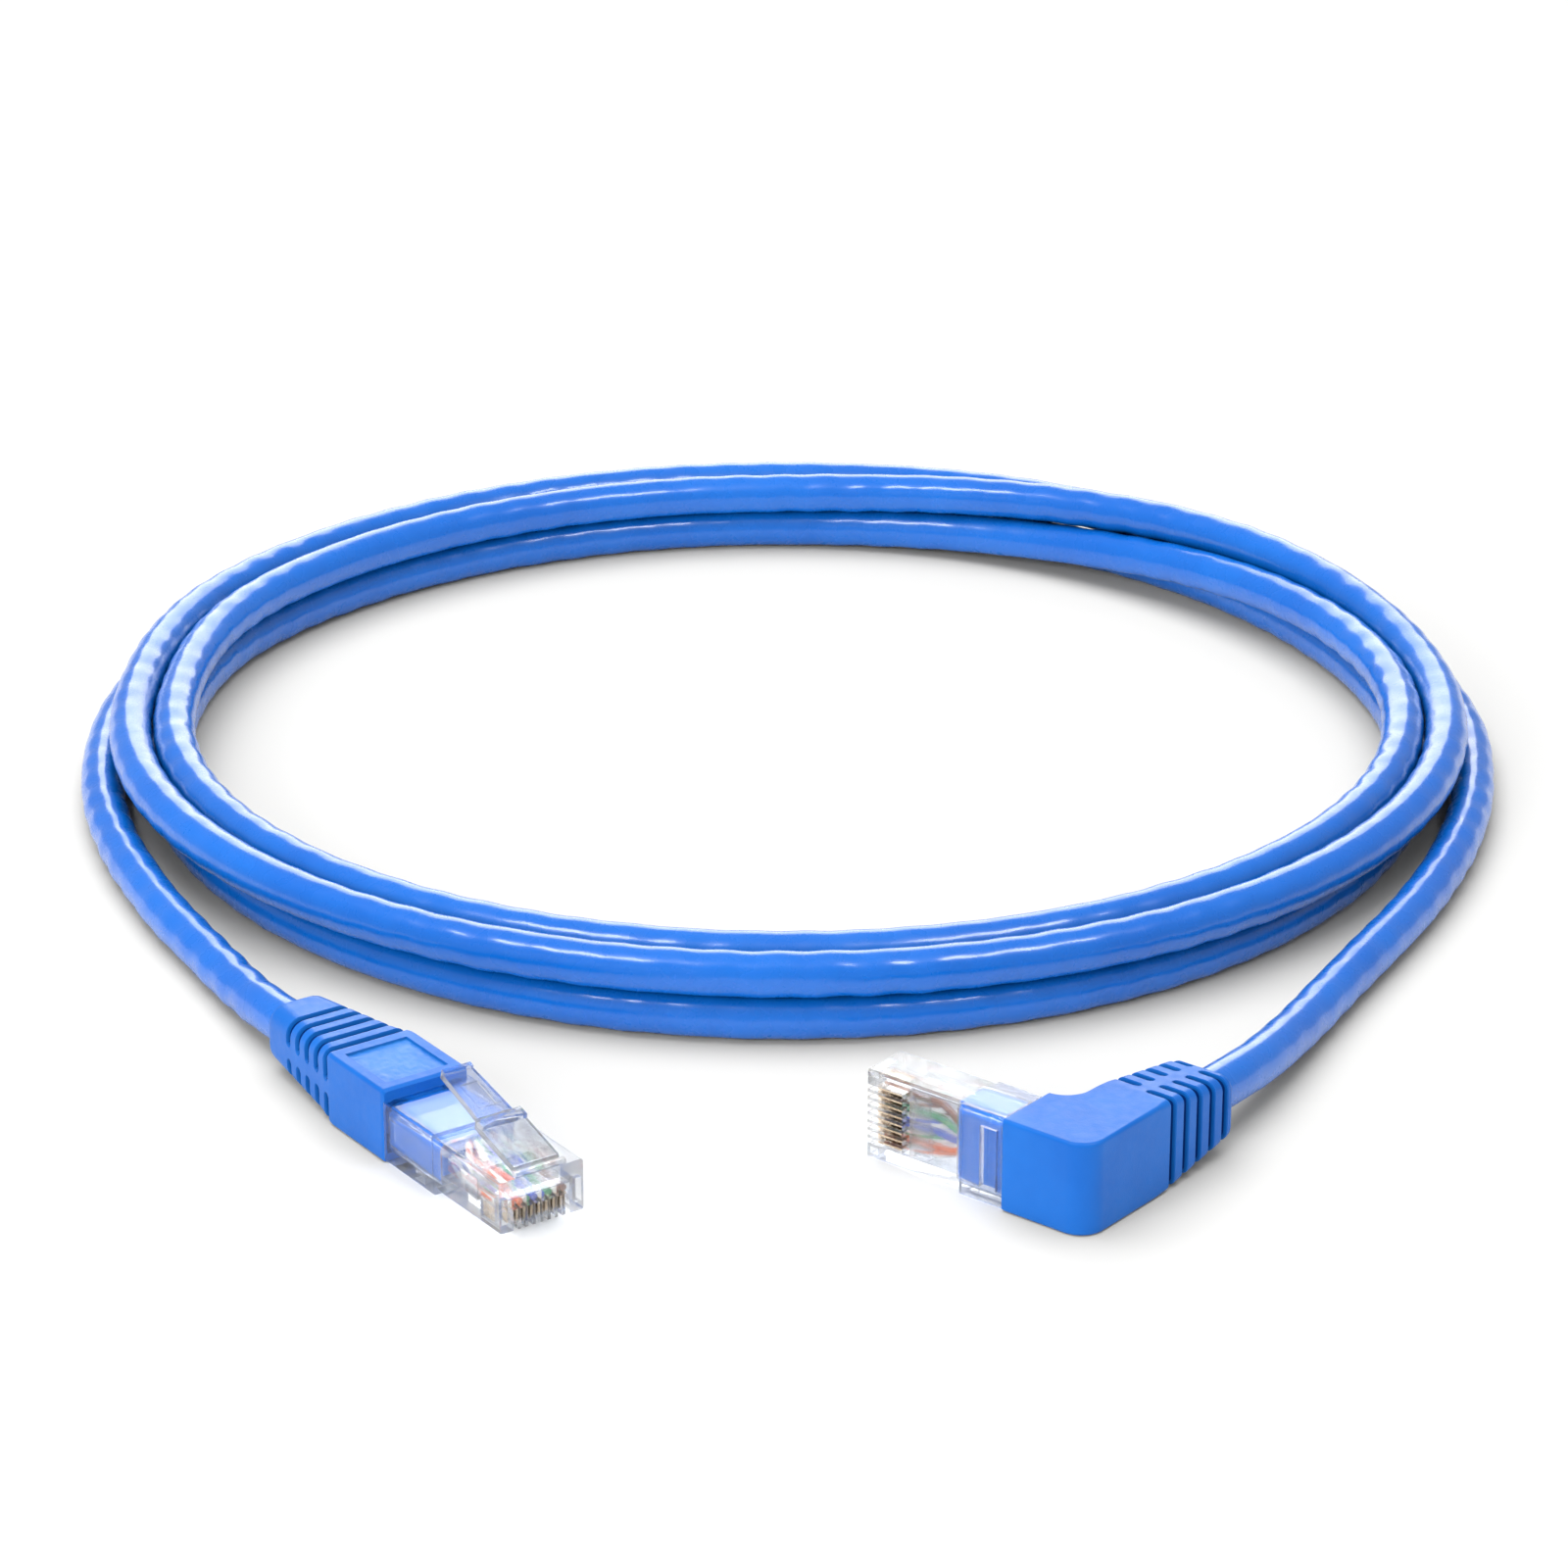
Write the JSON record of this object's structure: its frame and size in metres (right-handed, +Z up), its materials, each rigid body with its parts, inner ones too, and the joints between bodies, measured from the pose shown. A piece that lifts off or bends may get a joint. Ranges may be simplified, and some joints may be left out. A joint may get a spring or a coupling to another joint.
{
  "type": "ethernet patch cable",
  "caption": "Coiled round blue patch cable with a clear modular plug on a straight boot at one end and on a right-angle boot at the other, each with a sprung latch.",
  "frame": {"origin": "on the table, midway between the two connectors (bottom centre of the box round both connectors, cable left out)", "axes": "+Z up; +X from the straight connector to the right-angle connector; +Y from the connectors back over the coil"},
  "size_m": [0.1975, 0.2451, 0.0141],
  "materials": {
    "jacket_blue": "glossy soft PVC jacket",
    "boot_blue": "satin moulded PVC",
    "clear_plastic": "clear polished polycarbonate",
    "clear_guide": "clear, slightly milky polycarbonate",
    "contact_gold": "gold-plated, polished",
    "wire_white_orange": "polyethylene wire insulation",
    "wire_orange": "polyethylene wire insulation",
    "wire_white_green": "polyethylene wire insulation",
    "wire_blue": "polyethylene wire insulation",
    "wire_white_blue": "polyethylene wire insulation",
    "wire_green": "polyethylene wire insulation",
    "wire_white_brown": "polyethylene wire insulation",
    "wire_brown": "polyethylene wire insulation"
  },
  "bodies": {
    "patch_cable": {"coil_jacket": "jacket_blue", "straight_tail_jacket": "jacket_blue", "angled_tail_jacket": "jacket_blue", "straight_plug_body": "clear_plastic", "straight_wire_guide": "clear_guide", "straight_jacket_end": "jacket_blue", "straight_boot": "boot_blue", "straight_contact_1": "contact_gold", "straight_contact_2": "contact_gold", "straight_contact_3": "contact_gold", "straight_contact_4": "contact_gold", "straight_contact_5": "contact_gold", "straight_contact_6": "contact_gold", "straight_contact_7": "contact_gold", "straight_contact_8": "contact_gold", "straight_wire_1": "wire_white_orange", "straight_wire_2": "wire_orange", "straight_wire_3": "wire_white_green", "straight_wire_4": "wire_blue", "straight_wire_5": "wire_white_blue", "straight_wire_6": "wire_green", "straight_wire_7": "wire_white_brown", "straight_wire_8": "wire_brown", "angled_plug_body": "clear_plastic", "angled_wire_guide": "clear_guide", "angled_jacket_end": "jacket_blue", "angled_boot": "boot_blue", "angled_contact_1": "contact_gold", "angled_contact_2": "contact_gold", "angled_contact_3": "contact_gold", "angled_contact_4": "contact_gold", "angled_contact_5": "contact_gold", "angled_contact_6": "contact_gold", "angled_contact_7": "contact_gold", "angled_contact_8": "contact_gold", "angled_wire_1": "wire_white_orange", "angled_wire_2": "wire_orange", "angled_wire_3": "wire_white_green", "angled_wire_4": "wire_blue", "angled_wire_5": "wire_white_blue", "angled_wire_6": "wire_green", "angled_wire_7": "wire_white_brown", "angled_wire_8": "wire_brown"},
    "straight_latch": {"straight_latch": "clear_plastic"},
    "angled_latch": {"angled_latch": "clear_plastic"}
  },
  "joints": [
    {"name": "straight_latch_press", "type": "hinge", "parent": "patch_cable", "child": "straight_latch", "pos_m": [-0.02405, -0.02154, 0.0084], "axis": [-0.8161, -0.5779, 0], "range_deg": [0, 13], "stiffness_Nm_per_rad": 0.02},
    {"name": "angled_latch_press", "type": "hinge", "parent": "patch_cable", "child": "angled_latch", "pos_m": [0.02057, 0.00112, 0.006], "axis": [0, 0, -1], "range_deg": [0, 13], "stiffness_Nm_per_rad": 0.02}
  ]
}
